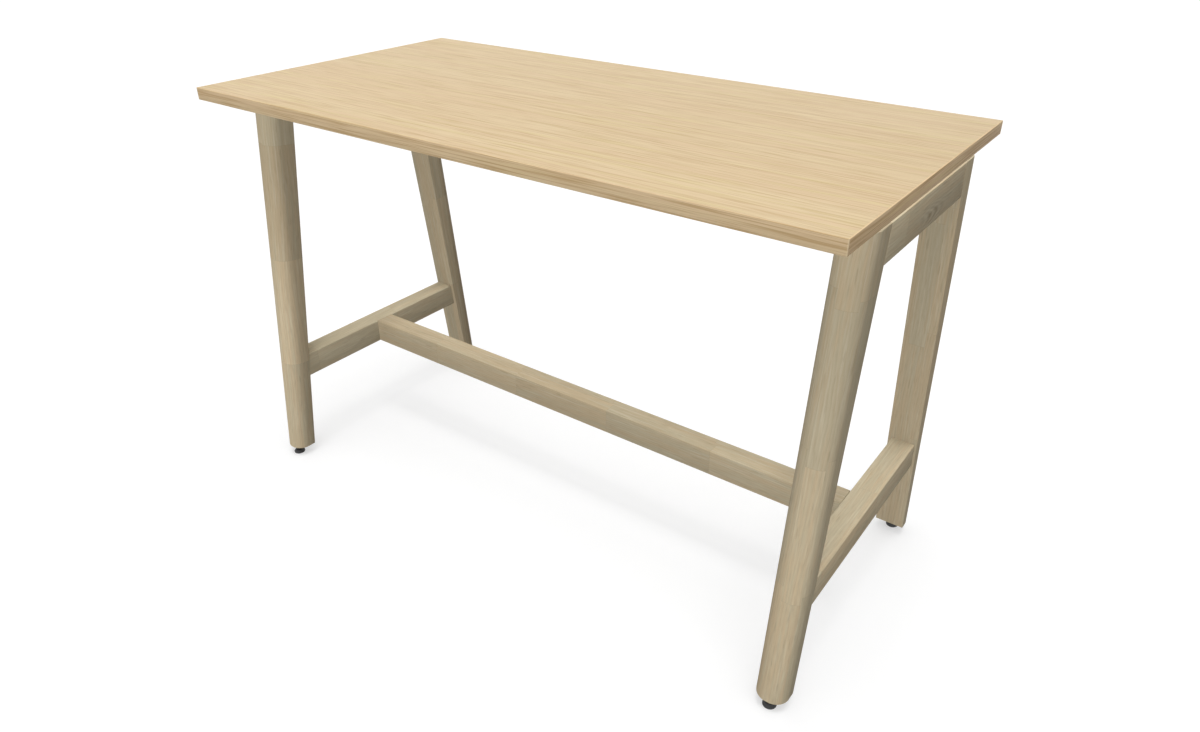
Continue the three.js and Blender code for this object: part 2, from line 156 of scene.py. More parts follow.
def ease_edges(piece, width, segments=ARRIS_SEGMENTS):
    """Rounds every remaining sharp edge and lets the light run smoothly over the rounds."""
    bevel = piece.modifiers.new("arris", "BEVEL")
    bevel.width = width
    bevel.segments = segments
    bevel.limit_method = "ANGLE"
    bevel.angle_limit = SHARP_ANGLE
    bpy.context.view_layer.objects.active = piece
    bpy.ops.object.modifier_apply(modifier=bevel.name)
    bpy.ops.object.shade_smooth_by_angle(angle=SMOOTH_ANGLE)


def bore(piece, place, radius, low, high):
    """Drills an upright hole between two heights into a piece."""
    drill = start_drum("drill", place, radius, low, high, BORE_SIDES)
    cut = piece.modifiers.new("bore", "BOOLEAN")
    cut.operation = "DIFFERENCE"
    cut.solver = "EXACT"
    cut.object = drill
    bpy.context.view_layer.objects.active = piece
    bpy.ops.object.modifier_apply(modifier=cut.name)
    bpy.data.objects.remove(drill)


# %% [markdown]
# A dressed piece takes its place from the solid that it stands for: from the solid's box, or from its
# corners where an end slopes.

# %% Placing and settling
TOUCH = 1e-5


def middle(node):
    """The middle of a solid's box."""
    low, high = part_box(node)
    return (Vector(low) + Vector(high)) / 2


def heights(node):
    """A solid's (Y low, Y high) at its bottom and at its top, from the solid's own corners."""
    low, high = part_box(node)
    corners = [vertex.co for vertex in frame["nodes"][node].data.vertices]
    ends = []
    for level in (low[2], high[2]):
        across = [corner.y for corner in corners if abs(corner.z - level) < TOUCH]
        ends.append((min(across), max(across)))
    return ends


def settle(piece, material, body, node):
    """Gives a finished piece its material, attaches it to the body it moves with and hides the solid it
    stands for.
    """
    piece.data.materials.clear()
    piece.data.materials.append(material)
    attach(piece, body)
    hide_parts(node)


print("a leg's foot and head, across the table:", heights("leg_front_left"))

# %% [markdown]
# A finish is a small network of nodes. Writing one out as sums and products is much easier to read than a
# list of nodes and links, so a socket is wrapped in a class whose operators add the Math nodes.

# %% A value with operators
class Wire:
    """A value that runs through a finish."""

    def __init__(self, finish, socket):
        self.finish = finish
        self.socket = socket

    def __add__(self, other):
        return self.finish.maths("ADD", self, other)

    def __radd__(self, other):
        return self.finish.maths("ADD", other, self)

    def __sub__(self, other):
        return self.finish.maths("SUBTRACT", self, other)

    def __rsub__(self, other):
        return self.finish.maths("SUBTRACT", other, self)

    def __mul__(self, other):
        return self.finish.maths("MULTIPLY", self, other)

    def __rmul__(self, other):
        return self.finish.maths("MULTIPLY", other, self)

    def __truediv__(self, other):
        return self.finish.maths("DIVIDE", self, other)


# %% [markdown]
# Every other node comes from one method that takes a node's type, its settings and its inputs. Light that
# bounces from wood to wood would stain the corners orange, so a bounced ray sees a plain warm grey
# instead of the finish.

# %% A finish under construction
BOUNCE_GREY = (0.38, 0.355, 0.31, 1.0)

# A Mix node has sockets for numbers, vectors and colours; these are the share and the colours.
MIX_SHARE = 0
MIX_FIRST = 6
MIX_SECOND = 7
MIX_RESULT = 2


class Finish:
    """A material, or a world, under construction."""

    def __init__(self, owner):
        self.owner = owner
        owner.use_nodes = True
        self.tree = owner.node_tree
        self.tree.nodes.clear()

    def node(self, kind, settings=None, inputs=None, out=0):
        """Adds a node: its settings first, then the values or links of its sockets."""
        made = self.tree.nodes.new(kind)
        for key, value in (settings or {}).items():
            setattr(made, key, value)
        for key, value in (inputs or {}).items():
            if isinstance(value, Wire):
                self.tree.links.new(value.socket, made.inputs[key])
            else:
                made.inputs[key].default_value = value
        return Wire(self, made.outputs[out]) if made.outputs else None

    def maths(self, operation, *values):
        return self.node("ShaderNodeMath", {"operation": operation}, dict(enumerate(values)))

    def vector(self, x, y, z):
        return self.node("ShaderNodeCombineXYZ", None, {"X": x, "Y": y, "Z": z})

    def place(self, lean=0.0):
        """Where a point is on the piece, with the piece's lean taken out, as three wires."""
        where = self.node("ShaderNodeTexCoord", None, None, "Object")
        upright = self.node("ShaderNodeMapping", {"vector_type": "POINT"},
                            {"Vector": where, "Rotation": (lean, 0.0, 0.0)})
        parts = self.tree.nodes.new("ShaderNodeSeparateXYZ")
        self.tree.links.new(upright.socket, parts.inputs["Vector"])
        return [Wire(self, socket) for socket in parts.outputs]

    def noise(self, where, detail):
        """Soft noise from 0 to 1."""
        return self.node("ShaderNodeTexNoise", {"noise_dimensions": "3D"},
                         {"Vector": where, "Scale": 1.0, "Detail": detail}, "Fac")

    def chance(self, where):
        """Three random numbers for each whole-number place, as wires."""
        made = self.node("ShaderNodeTexWhiteNoise", {"noise_dimensions": "3D"}, {"Vector": where}, "Color")
        parts = self.tree.nodes.new("ShaderNodeSeparateColor")
        self.tree.links.new(made.socket, parts.inputs["Color"])
        return [Wire(self, socket) for socket in parts.outputs]

    def step(self, value, low, high):
        """0 below low, 1 above high, and smooth between."""
        return self.node("ShaderNodeMapRange", {"interpolation_type": "SMOOTHSTEP"},
                         {"Value": value, "From Min": low, "From Max": high})

    def blend(self, share, first, second):
        """Two colours mixed by a share."""
        return self.node("ShaderNodeMix", {"data_type": "RGBA"},
                         {MIX_SHARE: share, MIX_FIRST: first, MIX_SECOND: second}, MIX_RESULT)

    def scaled(self, tint, factor):
        """A colour made lighter or darker."""
        return self.node("ShaderNodeVectorMath", {"operation": "SCALE"}, {0: tint, "Scale": factor})

    def surface(self, tint, roughness, metallic=0.0, height=None, relief=0.0, specular=0.5):
        """Closes the finish with its shader and hands back the material."""
        bounced = self.node("ShaderNodeLightPath", None, None, "Is Diffuse Ray")
        inputs = {"Base Color": self.blend(bounced, tint, BOUNCE_GREY), "Roughness": roughness,
                  "Metallic": metallic, "Specular IOR Level": specular}
        if height is not None:
            inputs["Normal"] = self.node("ShaderNodeBump", None,
                                         {"Height": height, "Strength": 1.0, "Distance": relief})
        shader = self.node("ShaderNodeBsdfPrincipled", None, inputs)
        self.node("ShaderNodeOutputMaterial", None, {"Surface": shader})
        return self.owner


def new_finish(name):
    """An empty material to build up."""
    return Finish(bpy.data.materials.new(name))


def colour(red, green, blue):
    """A colour as it looks on a screen, 0 to 255, in the linear values that shaders take."""
    levels = [value / 255 for value in (red, green, blue)]
    linear = [v / 12.92 if v <= 0.04045 else ((v + 0.055) / 1.055) ** 2.4 for v in levels]
    return (*linear, 1.0)


# %% [markdown]
# The top is a board faced with a printed oak pattern, and the bands on its edges carry the same print. A
# print has almost no depth, so this is nearly all colour: fine lines along the board, in wider streaks
# that are a little pinker or yellower. The noise is stretched along the board by multiplying the
# coordinates, a few cycles per metre along and hundreds across. A thin paler line is painted along a
# band's rounded arrises as a painted highlight, and the bands on the ends are made paler than those at the
# front and back, as painted light on end faces that get less light.

# %% The printed oak of the board and its edge bands
# Cycles per metre along and across, where the noise starts, its detail, and where each layer sets in.
PRINT_LAYERS = {
    "broad": {"along": 1.4, "across": 30.0, "start": 3.1, "detail": 2.0, "sets_in": (0.38, 0.62)},
    "patch": {"along": 7.0, "across": 75.0, "start": 5.3, "detail": 1.0, "sets_in": (0.5, 0.7)},
    "lines": {"along": 11.0, "across": 300.0, "start": 7.7, "detail": 2.0, "sets_in": (0.42, 0.74)},
    "fine": {"along": 30.0, "across": 760.0, "start": 1.3, "detail": 1.0, "sets_in": (0.45, 0.8)},
}
PRINT_SHARES = {"patch": 0.7, "lines": 0.6, "fine": 0.4}
PRINT_PALE = colour(226, 205, 168)
PRINT_PINK = colour(223, 199, 163)
PRINT_YELLOW = colour(222, 203, 157)
PRINT_DARK = colour(198, 170, 128)
# Painted highlight: the paler colour of the line along the bands' rounded arrises.
PRINT_HIGHLIGHT = colour(243, 222, 184)
PRINT_WANDER = 7 * MM
PRINT_WANDER_ALONG = 2.1
PRINT_WANDER_ACROSS = 11.0
PRINT_ROUGHNESS = 0.48
PRINT_ROUGHER = 0.12
PRINT_RELIEF = 0.02 * MM
PRINT_SPECULAR = 0.04
# Painted highlight: how wide the paler arris line is, and how strong on the top edge and at the upright
# corners.
HIGHLIGHT_WIDTH = 2.4 * MM
HIGHLIGHT_ON_TOP = 0.08
HIGHLIGHT_AT_CORNERS = 0.55
BOARD_LIFT = (1.02, 1.02, 1.03)
# The bands' lifts are partly the paleness of their print and partly painted light: the end bands, along Y,
# whose faces get less light, are lifted more than those at the front and back.
BAND_LIFT_AND_PAINTED_LIGHT = {"X": (1.09, 1.06, 1.04), "Y": (1.17, 1.1, 1.04)}
HALF_LENGTH, HALF_DEPTH, TOP_HIGH = cad_box[1]


def printed_oak(name, along, depth, stretch, lift, core):
    """Printed oak with its grain along X or Y.

    Depth is how strong its lines are, stretch how long, and lift how pale the print is."""
    finish = new_finish(name)
    x, y, z = finish.place()
    run, across = (x, y) if along == "X" else (y, x)
    drift = finish.noise(finish.vector(run * PRINT_WANDER_ALONG, across * PRINT_WANDER_ACROSS,
                                       z * PRINT_WANDER_ACROSS), 1.0) - 0.5
    wander = drift * (PRINT_WANDER / stretch)

    layers = {}
    for layer, look in PRINT_LAYERS.items():
        where = finish.vector(run * (look["along"] / stretch) + look["start"],
                              (across + wander) * look["across"], (z + wander) * look["across"])
        layers[layer] = finish.step(finish.noise(where, look["detail"]), *look["sets_in"])

    tint = finish.blend(layers["broad"], PRINT_PALE, PRINT_PINK)
    tint = finish.blend(layers["patch"] * PRINT_SHARES["patch"], tint, PRINT_YELLOW)
    dark = layers["lines"] * PRINT_SHARES["lines"] + layers["fine"] * PRINT_SHARES["fine"]
    tint = finish.blend(dark * depth, tint, PRINT_DARK)
    tint = finish.node("ShaderNodeVectorMath", {"operation": "MULTIPLY"}, {0: tint, 1: lift})
    # Painted highlight: where core is set, a paler line is painted along the band's rounded arrises.
    if core:
        def near(distance, edge):
            return finish.step(distance, edge - HIGHLIGHT_WIDTH, edge - HIGHLIGHT_WIDTH / 2)

        ends = near(finish.maths("ABSOLUTE", x), HALF_LENGTH)
        sides = near(finish.maths("ABSOLUTE", y), HALF_DEPTH)
        shows = finish.maths("MAXIMUM", near(z, TOP_HIGH) * HIGHLIGHT_ON_TOP, ends * sides * HIGHLIGHT_AT_CORNERS)
        tint = finish.blend(shows, tint, PRINT_HIGHLIGHT)
    roughness = PRINT_ROUGHNESS + PRINT_ROUGHER * layers["fine"]
    return finish.surface(tint, roughness, height=layers["fine"], relief=PRINT_RELIEF,
                          specular=PRINT_SPECULAR)


board_oak = printed_oak("board_oak", "X", depth=1.1, stretch=1.9, lift=BOARD_LIFT, core=False)
# The bands get the painted highlight along their arrises.
band_oak = {}
for axis, lift in BAND_LIFT_AND_PAINTED_LIGHT.items():
    name = f"band_oak_{axis.lower()}"
    band_oak[axis] = printed_oak(name, axis, depth=2.1, stretch=3.0, lift=lift, core=True)
print("printed oak finishes:", board_oak.name, [material.name for material in band_oak.values()])

# %% [markdown]
# The frame is solid timber, glued up from strips that are themselves end-jointed from shorter staves.
# Real wood is a solid pattern: growth rings are near-circles around the heart of the tree, and a face
# shows straight lines or arches depending on how it cuts them. So each stave gets its own random numbers,
# its own ring centre and its own shift of the grain, and everything is worked out in three dimensions.
# The joints then show as on the real thing, as a slight step in tone. Streaks run from a warm tan to a
# grey, with pale lines and a few dark flecks between, and a close look finds the pores, short dark dashes
# along the grain.

# %% The timber's sizes, layers and colours
STRIP_WIDTH = 36 * MM
STAVE_LENGTH = 300 * MM
JOINT_STAGGER = 0.14
JOINT_WIDTH = 0.5 * MM
RING_WIDTH = 6 * MM
RING_WANDER = 30 * MM
GRAIN_WANDER = 8 * MM
HEART_ASIDE = 160 * MM
HEART_BELOW = 220 * MM
HEART_LEAN = 0.06
KNOT_LONG = 58 * MM
KNOT_WIDE = 20 * MM
KNOT_ARCHES = 3.2
KNOT_BEND = 3.5
KNOT_PULL = 0.8

# Cycles per metre along the grain and across it, which of a stave's random numbers shifts the layer and
# how far, the noise's detail, and where the layer sets in.
WOOD_LAYERS = {
    "broad": {"along": 2.6, "across": 60.0, "shift": ("turn", 23), "detail": 1.0},
    "medium": {"along": 13.0, "across": 170.0, "shift": ("bright", 17), "detail": 2.0},
    "fine": {"along": 32.0, "across": 430.0, "shift": ("side", 11), "detail": 2.0},
    "fleck": {"along": 22.0, "across": 240.0, "shift": ("turn", 31), "detail": 0.0, "sets_in": (0.72, 0.82)},
    "lines": {"along": 9.0, "across": 230.0, "shift": ("bright", 29), "detail": 1.0, "sets_in": (0.5, 0.72)},
    "pore": {"along": 75.0, "across": 1900.0, "shift": ("side", 7), "detail": 0.0, "sets_in": (0.56, 0.72)},
}
DRIFT_ALONG = 3.0
DRIFT_ACROSS = 14.0
DRIFT_SHIFT_ALONG = 40
DRIFT_SHIFT_ACROSS = 9
STRIP_SHIFT = 0.37
STRIP_DRAW = 0.5

WOOD_WARM = colour(218, 198, 164)
WOOD_GREY = colour(213, 200, 170)
WOOD_DARK = colour(166, 147, 118)
WOOD_PALE = colour(232, 222, 196)
WARMTH = {"broad": 0.4, "medium": 0.45, "fine": 0.15}
WARMTH_SETS_IN = (0.36, 0.64)
PALE_LINES = 0.4
PALE_KNOT = 0.4
LATE_GROWS = (0.2, 0.95)
LATE_ENDS = (0.95, 1.0)
FINE_DARKENS = (0.42, 0.72)
SHADES = {"late": 0.12, "fine": 0.16, "fleck": 0.24, "pore": 0.08, "joint": 0.34, "knot": 0.66}
DEPTHS = {"fleck": 0.6, "pore": 0.3, "late": 0.2, "joint": 0.6}
STAVE_TONE_LOW = 0.935
STAVE_TONE_SPAN = 0.11
STAVE_TINT = 0.22
# Painted shade: from this height up to a leg's head its finish is darkened, where the top above would shade
# it.
HEAD_SHADE_FROM = 250 * MM
HEAD_SHADE_TO = 1000 * MM
WOOD_ROUGHNESS = 0.54
WOOD_ROUGHER = 0.14
WOOD_RELIEF = 0.05 * MM
WOOD_SPECULAR = 0.01
print("layers of grain:", list(WOOD_LAYERS))

# %% [markdown]
# The finish is built in this order: which strip and stave a point is in, how far it is from a joint, the
# knot if there is one, the growth rings, and then the layers of streaks. All that darkens the wood is
# summed up and mixed in at once, and the same marks make a shallow relief.

# %% Jointed timber
def knot_swirl(finish, run, deep, knot):
    """How near a point is to a knot, the knot's nested arches, and the grain drawn in towards it."""
    off_run = (run - knot[0]) / KNOT_LONG
    off_deep = (deep - knot[1]) / KNOT_WIDE
    swirl = finish.maths("EXPONENT", (off_run * off_run + off_deep * off_deep) * -1.0)
    arches = finish.maths("PINGPONG", off_run * KNOT_ARCHES + off_deep * off_deep * KNOT_BEND, 1.0)
    return swirl, swirl * arches, deep - swirl * off_deep * (KNOT_WIDE * KNOT_PULL)


def timber(name, along, seed, tone=1.0, joint_at=0.0, lean=0.0, head_shade=0.0, knot=None):
    """Jointed timber with its grain along X, Y or Z.

    Painted shade darkens it towards its head; a knot is given by where it is along and across the grain."""
    finish = new_finish(name)
    x, y, z = finish.place(lean)
    run, wide, deep = {"X": (x, y, z), "Y": (y, x, z), "Z": (z, x, y)}[along]

    strip = finish.maths("FLOOR", wide / STRIP_WIDTH + seed * STRIP_SHIFT)
    jitter = finish.chance(finish.vector(strip, seed, STRIP_DRAW))[0]
    staves = (run - joint_at) / STAVE_LENGTH + jitter * JOINT_STAGGER
    stave = finish.maths("FLOOR", staves)
    bright, side, turn = finish.chance(finish.vector(strip, stave, seed))
    draws = {"bright": bright, "side": side, "turn": turn}
    from_joint = finish.maths("PINGPONG", staves, 0.5) * STAVE_LENGTH
    marks = {"joint": 1 - finish.step(from_joint, 0.0, JOINT_WIDTH)}

    pale = 0.0
    if knot:
        swirl, marks["knot"], deep = knot_swirl(finish, run, deep, knot)
        pale = swirl * PALE_KNOT

    drift = finish.noise(finish.vector(run * DRIFT_ALONG + bright * DRIFT_SHIFT_ALONG, wide * DRIFT_ACROSS,
                                       deep * DRIFT_ACROSS + turn * DRIFT_SHIFT_ACROSS), 1.0) - 0.5
    off_wide = wide + (side - 0.5) * HEART_ASIDE + drift * RING_WANDER
    off_heart = deep + (turn - 0.5) * HEART_BELOW + run * (bright - 0.5) * HEART_LEAN
    radius = finish.maths("SQRT", off_wide * off_wide + off_heart * off_heart)
    ring = finish.maths("FRACT", radius / RING_WIDTH)
    marks["late"] = finish.step(ring, *LATE_GROWS) * (1 - finish.step(ring, *LATE_ENDS))

    layers = {}
    wander = drift * GRAIN_WANDER
    for layer, look in WOOD_LAYERS.items():
        draw, reach = look["shift"]
        where = finish.vector(run * look["along"] + draws[draw] * reach,
                              (wide + wander) * look["across"], (deep + wander) * look["across"])
        layers[layer] = finish.noise(where, look["detail"])
        if "sets_in" in look:
            layers[layer] = finish.step(layers[layer], *look["sets_in"])
    marks["fine"] = finish.step(layers["fine"], *FINE_DARKENS)
    marks["fleck"] = layers["fleck"]
    marks["pore"] = layers["pore"]

    warmth = sum(layers[layer] * share for layer, share in WARMTH.items()) + (side - 0.5) * STAVE_TINT
    base = finish.blend(finish.step(warmth, *WARMTH_SETS_IN), WOOD_GREY, WOOD_WARM)
    base = finish.blend(layers["lines"] * PALE_LINES + pale, base, WOOD_PALE)
    grained = finish.blend(sum(mark * SHADES[kind] for kind, mark in marks.items()), base, WOOD_DARK)
    stave_tone = STAVE_TONE_LOW + STAVE_TONE_SPAN * bright
    # Painted shade: the tone drops towards the head of a leg.
    toned = finish.scaled(grained, stave_tone * (tone - finish.step(run, HEAD_SHADE_FROM, HEAD_SHADE_TO) * head_shade))
    height = 1 - sum(marks[kind] * depth for kind, depth in DEPTHS.items())
    roughness = WOOD_ROUGHNESS + WOOD_ROUGHER * layers["fine"]
    return finish.surface(toned, roughness, height=height, relief=WOOD_RELIEF, specular=WOOD_SPECULAR)


# %% [markdown]
# Plastic, steel and the bare beech inside the joints are simpler, but none is one flat colour. Moulded
# plastic has a fine spark-eroded grain, zinc plating is cloudy, and black steel has a satin coat with a
# slight orange peel.

# %% Plastic, metal and beech
CLOUD_SIZE = 20
SPECKLE_ROUGHER = 0.12


def speckled(name, low, high, cycles, roughness, metallic, relief):
    """A finish between two colours, with a fine grain of so many cycles per metre and larger clouds."""
    finish = new_finish(name)
    x, y, z = finish.place()
    grain = finish.noise(finish.vector(x * cycles, y * cycles, z * cycles), 3.0)
    wide = cycles / CLOUD_SIZE
    cloud = finish.noise(finish.vector(x * wide, y * wide, z * wide), 2.0)
    tint = finish.blend((grain + cloud) * 0.5, low, high)
    return finish.surface(tint, roughness + SPECKLE_ROUGHER * (grain - 0.5), metallic, grain, relief)


black_plastic = speckled("black_plastic", colour(58, 58, 59), colour(84, 84, 85),
                         cycles=2600.0, roughness=0.6, metallic=0.0, relief=0.02 * MM)
black_steel = speckled("black_steel", colour(24, 24, 25), colour(46, 46, 48),
                       cycles=900.0, roughness=0.42, metallic=0.3, relief=0.01 * MM)
zinc_steel = speckled("zinc_steel", colour(168, 168, 164), colour(198, 197, 190),
                      cycles=1200.0, roughness=0.38, metallic=1.0, relief=0.01 * MM)
beech = timber("beech", "Y", seed=19)
print("other finishes:", [material.name for material in (black_plastic, black_steel, zinc_steel, beech)])

# %% [markdown]
# The board is a plain slab, but a real one has faces pressed on it and arrises broken by a touch of a
# file. It starts as a block at the solid's size, and a fine bevel finishes it.

# %% The board
BOARD_ARRIS = 0.25 * MM

board = start_block("board", *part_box("top_panel"))
ease_edges(board, BOARD_ARRIS, SMALL_ARRIS_SEGMENTS)
settle(board, board_oak, "table", "top_panel")
print("board", [round(size, 3) for size in board.dimensions])

# %% [markdown]
# Most pieces of a table come in twos and fours. Each is modelled once, at the front or on the left, and
# copied. The table is the same on both sides of its middle, so most copies are mirrored about it. A
# mirrored mesh is inside out, so its faces are flipped back. A screw is moved instead, because mirroring
# would turn its thread left-handed.

# %% Copying a piece
def copy_piece(piece, name, mirror=(1, 1, 1), move=(0, 0, 0)):
    """A copy with a mesh of its own, mirrored about the middle of the table or moved."""
    bpy.ops.object.select_all(action="DESELECT")
    piece.select_set(True)
    bpy.context.view_layer.objects.active = piece
    bpy.ops.object.duplicate(linked=False)
    twin = bpy.context.object
    twin.name = name
    bpy.ops.object.mode_set(mode="EDIT")
    bpy.ops.mesh.select_all(action="SELECT")
    bpy.ops.transform.resize(value=mirror, center_override=(0, 0, 0))
    if mirror[0] * mirror[1] * mirror[2] < 0:
        bpy.ops.mesh.flip_normals()
    bpy.ops.transform.translate(value=move)
    bpy.ops.object.mode_set(mode="OBJECT")
    return twin


def mirror_for(place):
    """How the piece at the front left is mirrored to get to another place."""
    return (-1 if place.endswith("right") else 1, -1 if place.startswith("back") else 1, 1)


# %% [markdown]
# Edge bands are two-millimetre strips glued on and then rounded over with a cutter, outside arrises only:
# the side against the board stays square. So only the edges on the outer face are selected and bevelled,
# the upright ones at the corners of the table too.

# %% Edge bands
BAND_ROUND = 1.5 * MM
BAND_SEGMENTS = 4


def make_band(name, axis):
    """The band at the front or on the left; its outer face looks back along an axis."""
    low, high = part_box(name)
    band = start_block(f"{name}_strip", low, high)
    bpy.ops.object.mode_set(mode="EDIT")
    pick(band, "edges", lambda edge: all(abs(vertex.co[axis] - low[axis]) < TOUCH for vertex in edge.verts))
    bpy.ops.mesh.bevel(offset=BAND_ROUND, segments=BAND_SEGMENTS, affect="EDGES", clamp_overlap=True)
    bpy.ops.object.mode_set(mode="OBJECT")
    bpy.ops.object.shade_smooth_by_angle(angle=SMOOTH_ANGLE)
    return band


band_front = make_band("edge_band_front", 1)
band_left = make_band("edge_band_left", 0)
bands = {
    "edge_band_front": (band_front, "X"),
    "edge_band_back": (copy_piece(band_front, "edge_band_back_strip", mirror_for("back_left")), "X"),
    "edge_band_left": (band_left, "Y"),
    "edge_band_right": (copy_piece(band_left, "edge_band_right_strip", mirror_for("front_right")), "Y"),
}
for node, (band, along) in bands.items():
    settle(band, band_oak[along], "table", node)
print("bands", [band.name for band, along in bands.values()])

# %% [markdown]
# A leg is sawn from a glued block: it leans and tapers across the table, its inner face is flat with
# crisp arrises, and its two outer arrises are rounded so far that they almost meet. In Blender that is a
# block whose top and bottom vertices are moved to the leg's corners, then one large bevel along two
# edges, then the fine one all over. Last, the foot is drilled for the threaded insert and, narrower, for
# the screw that runs up through it.

# %% Shaping a leg
LEG_ROUND = 32 * MM
LEG_ROUND_SEGMENTS = 14
LEG_ARRIS = 1.0 * MM
BORE_CLEAR = 0.05 * MM
SCREW_BORE_RADIUS = 5.5 * MM
SCREW_BORE_ROOM = 14 * MM


def slope_ends(piece, node):
    """Draws a block's corners in to where the solid's are, at its top and at its bottom."""
    low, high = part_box(node)
    middle_y, middle_z = (low[1] + high[1]) / 2, (low[2] + high[2]) / 2
    for above, (near, far) in enumerate(heights(node)):
        shift(piece, lambda v: (v.co.z > middle_z) == above and v.co.y < middle_y, (0, near - low[1], 0))
        shift(piece, lambda v: (v.co.z > middle_z) == above and v.co.y > middle_y, (0, far - high[1], 0))


def make_leg(node, insert, screw):
    """The leg at the front left, whose outer face is the one at the front."""
    low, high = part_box(node)
    foot_outer, head_outer = [across[0] for across in heights(node)]
    leg = start_block(f"{node}_timber", low, high)
    bpy.ops.object.mode_set(mode="EDIT")
    slope_ends(leg, node)

    def at_front(vertex):
        goal = head_outer if abs(vertex.co.z - high[2]) < TOUCH else foot_outer
        return abs(vertex.co.y - goal) < TOUCH

    def upright(edge):
        return abs(edge.verts[0].co.z - edge.verts[1].co.z) > TOUCH

    pick(leg, "edges", lambda edge: upright(edge) and all(at_front(vertex) for vertex in edge.verts))
    bpy.ops.mesh.bevel(offset=LEG_ROUND, segments=LEG_ROUND_SEGMENTS, affect="EDGES", clamp_overlap=True)
    bpy.ops.object.mode_set(mode="OBJECT")
    ease_edges(leg, LEG_ARRIS)
    spot = middle(insert)
    insert_side, _, insert_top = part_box(insert)[1]
    screw_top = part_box(screw)[1][2]
    bore(leg, spot, insert_side - spot.x + BORE_CLEAR, low[2] - LEG_ARRIS, insert_top + BORE_CLEAR)
    bore(leg, spot, SCREW_BORE_RADIUS, insert_top - BORE_CLEAR, screw_top + SCREW_BORE_ROOM)
    return leg, math.atan2(head_outer - foot_outer, high[2] - low[2])


first_leg, leg_lean = make_leg("leg_front_left", "leg_insert_front_left", "foot_screw_front_left")
print("legs lean by", round(math.degrees(leg_lean), 2), "degrees")

# %% [markdown]
# The other legs are mirrored copies of the first. The grain leans with the leg. Every leg has a finish of
# its own, with a tone that is partly the wood's and partly painted light and shade, and with its staves
# darkened towards the head as painted shade from the top.

# %% Four legs
LEG_JOINT_AT = 884 * MM
# Each leg's tone is partly the wood's own and partly painted light and shade, set for how bright the leg
# comes out under these lamps; the last number darkens its head as painted shade.
LEG_WOOD = {
    "front_left": {"seed": 11, "tone": 1.12, "head_shade": 0.36},
    "back_left": {"seed": 2, "tone": 0.83, "head_shade": 0.05},
    "front_right": {"seed": 3, "tone": 1.05, "head_shade": 0.29},
    "back_right": {"seed": 4, "tone": 0.97, "head_shade": 0.155},
}

legs = {"front_left": first_leg}
for place in PLACES[1:]:
    legs[place] = copy_piece(first_leg, f"leg_{place}_timber", mirror_for(place))
for place, leg in legs.items():
    lean = leg_lean * mirror_for(place)[1]
    finish = timber(f"timber_leg_{place}", "Z", joint_at=LEG_JOINT_AT, lean=lean, **LEG_WOOD[place])
    settle(leg, finish, "table", f"leg_{place}")
print("legs", [leg.name for leg in legs.values()])

# %% [markdown]
# Aprons and lower rails fit between the legs, so their ends are cut to the slope of the legs' inner
# faces. A block as long as the longer edge is made, its other edge is drawn in, and the arrises are
# eased. The stretcher has square ends and is made the same way. Each piece is cut from other wood, so
# each has joints of its own, and one apron shows the arches of a knot. Each also has a tone of its own,
# partly the wood's and partly painted light and shade: the stretcher, under the top, is darkened as
# painted shade.

# %% Aprons, lower rails and stretcher
MEMBER_ARRIS = 1.0 * MM
APRON_KNOT = (25 * MM, 957 * MM)
# Each tone is partly the wood's own and partly painted light and shade; the stretcher's low tone is painted
# shade from the top above it.
MEMBER_WOOD = {
    "stretcher": {"along": "X", "seed": 5, "tone": 0.86, "joint_at": 120 * MM},
    "apron_left": {"along": "Y", "seed": 6, "tone": 1.0, "joint_at": 50 * MM},
    "apron_right": {"along": "Y", "seed": 7, "tone": 0.99, "joint_at": -110 * MM, "knot": APRON_KNOT},
    "lower_rail_left": {"along": "Y", "seed": 14, "tone": 1.0, "joint_at": 90 * MM},
    "lower_rail_right": {"along": "Y", "seed": 9, "tone": 1.04, "joint_at": 90 * MM},
}


def make_member(node):
    """An apron, a rail or the stretcher, with its ends cut to the slope of the solid's."""
    member = start_block(f"{node}_timber", *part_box(node))
    bpy.ops.object.mode_set(mode="EDIT")
    slope_ends(member, node)
    bpy.ops.object.mode_set(mode="OBJECT")
    ease_edges(member, MEMBER_ARRIS)
    return member


members = {node: make_member(node) for node in ("stretcher", "apron_left", "lower_rail_left")}
for node in ("apron", "lower_rail"):
    first = members[f"{node}_left"]
    members[f"{node}_right"] = copy_piece(first, f"{node}_right_timber", mirror_for("front_right"))
for node, wood in MEMBER_WOOD.items():
    settle(members[node], timber(f"timber_{node}", **wood), "table", node)
print("members", [member.name for member in members.values()])

# %% [markdown]
# The glide of a levelling foot is a moulding: a thin rim on the floor, a cone up to a neck, and a socket
# that the screw's end snaps into. A lathe would do, but it is as quick to build up a drum: its upper face
# is extruded, drawn in to the neck, inset and pushed down again.

# %% Glides
GLIDE_SIDES = 64
FACING_UP = 0.9
GLIDE_ARRIS = 0.6 * MM
GLIDE_RIM = 3 * MM
GLIDE_NECK_RADIUS = 10 * MM
GLIDE_WALL = 5 * MM
SOCKET_CLEAR = 0.1 * MM


